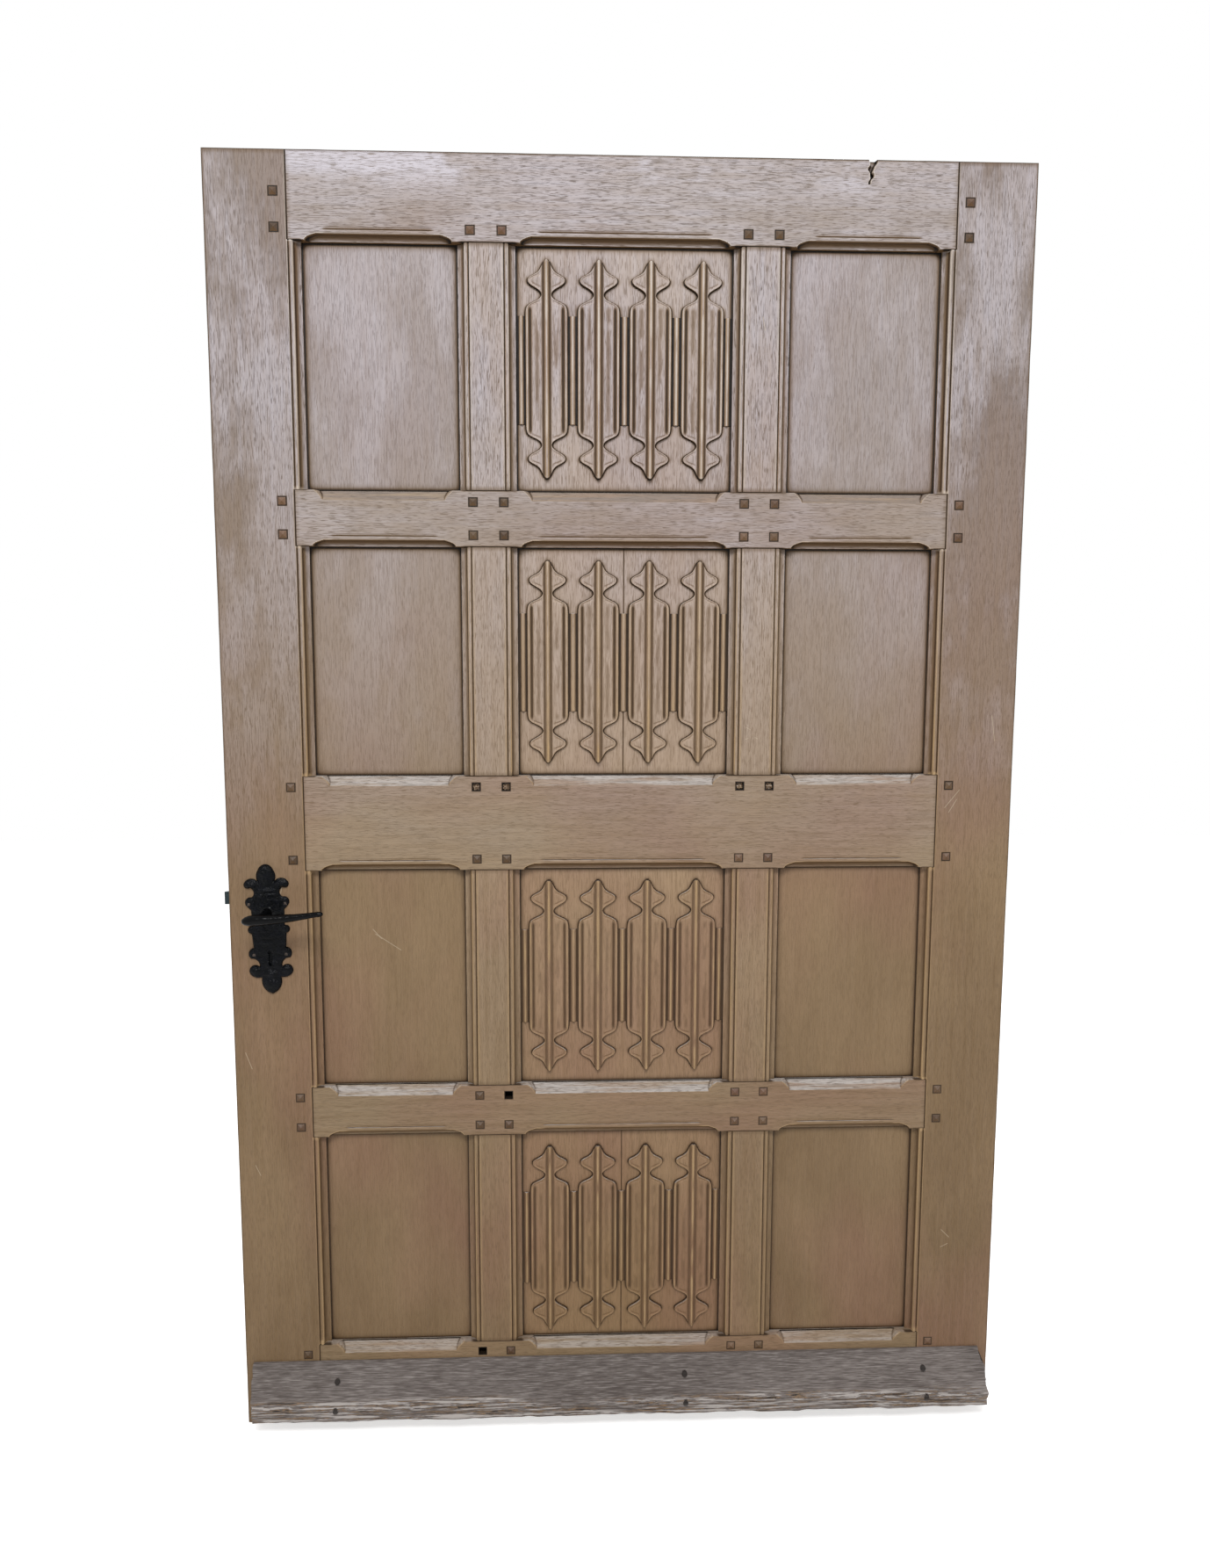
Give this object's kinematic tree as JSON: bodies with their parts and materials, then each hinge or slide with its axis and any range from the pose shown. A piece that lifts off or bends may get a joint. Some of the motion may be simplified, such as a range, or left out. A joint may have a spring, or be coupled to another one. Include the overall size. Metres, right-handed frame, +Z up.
{
  "type": "panelled wooden door leaf",
  "caption": "Rectangular framed oak door leaf with carved linenfold panels down the middle, plain side panels, a sloping weather board and a wrought-iron lever handle.",
  "frame": {"origin": "centre of the leaf's underside, midway through its thickness", "axes": "+Z up, +X from the lock edge to the hinge edge, -Y out of the carved show face"},
  "size_m": [1.312, 0.1744, 2.1],
  "materials": {
    "oak_frame": "weathered, satin",
    "oak_panel": "weathered, satin",
    "oak_carved": "weathered, satin",
    "oak_peg": "weathered, satin",
    "oak_weathered": "bare, matt",
    "black_iron": "black, satin",
    "nail_iron": "dark, worn",
    "lock_steel": "dull",
    "spring_steel": "dull"
  },
  "bodies": {
    "leaf": {"stile_lock": "oak_frame", "stile_hinge": "oak_frame", "rail_bottom": "oak_frame", "rail_lower": "oak_frame", "rail_middle": "oak_frame", "rail_upper": "oak_frame", "rail_top": "oak_frame", "muntin_left_row_1": "oak_frame", "muntin_right_row_1": "oak_frame", "muntin_left_row_2": "oak_frame", "muntin_right_row_2": "oak_frame", "muntin_left_row_3": "oak_frame", "muntin_right_row_3": "oak_frame", "muntin_left_row_4": "oak_frame", "muntin_right_row_4": "oak_frame", "plain_panel_left_row_1": "oak_panel", "plain_panel_right_row_1": "oak_panel", "plain_panel_left_row_2": "oak_panel", "plain_panel_right_row_2": "oak_panel", "plain_panel_left_row_3": "oak_panel", "plain_panel_right_row_3": "oak_panel", "plain_panel_left_row_4": "oak_panel", "plain_panel_right_row_4": "oak_panel", "linenfold_panel_row_1": "oak_carved", "linenfold_panel_row_2": "oak_carved", "linenfold_panel_row_3": "oak_carved", "linenfold_panel_row_4": "oak_carved", "pegs_stile_lock": "oak_peg", "pegs_stile_hinge": "oak_peg", "pegs_muntin_left": "oak_peg", "pegs_muntin_right": "oak_peg", "pegs_broken": "oak_peg", "weather_board": "oak_weathered", "backplate_front": "black_iron", "backplate_rear": "black_iron", "plate_nails_front": "nail_iron", "plate_nails_rear": "nail_iron", "weather_board_nails": "nail_iron", "forend_nails": "nail_iron", "lock_case": "lock_steel", "lock_cover": "lock_steel", "forend": "lock_steel", "latch_spring": "spring_steel", "deadbolt_spring": "spring_steel"},
    "handle": {"lever_front": "black_iron", "lever_rear": "black_iron", "spindle": "lock_steel", "lever_pin": "lock_steel", "follower": "lock_steel"},
    "latch": {"latch_bolt": "lock_steel"},
    "deadbolt": {"deadbolt": "lock_steel"}
  },
  "joints": [
    {"name": "lever_turn", "type": "hinge", "parent": "leaf", "child": "handle", "pos_m": [-0.587, 0, 0.908], "axis": [0, 1, 0], "range_deg": [0, 35], "stiffness_Nm_per_rad": 2, "springref_deg": -28.65},
    {"name": "latch_slide", "type": "slide", "parent": "leaf", "child": "latch", "axis": [1, 0, 0], "range_m": [0, 0.012], "deforming": ["latch_spring"]},
    {"name": "deadbolt_throw", "type": "slide", "parent": "leaf", "child": "deadbolt", "axis": [-1, 0, 0], "range_m": [0, 0.02]}
  ],
  "couplings": [
    {"joint": "latch_slide", "follows": "lever_turn", "m_per_rad": 0.0196}
  ]
}
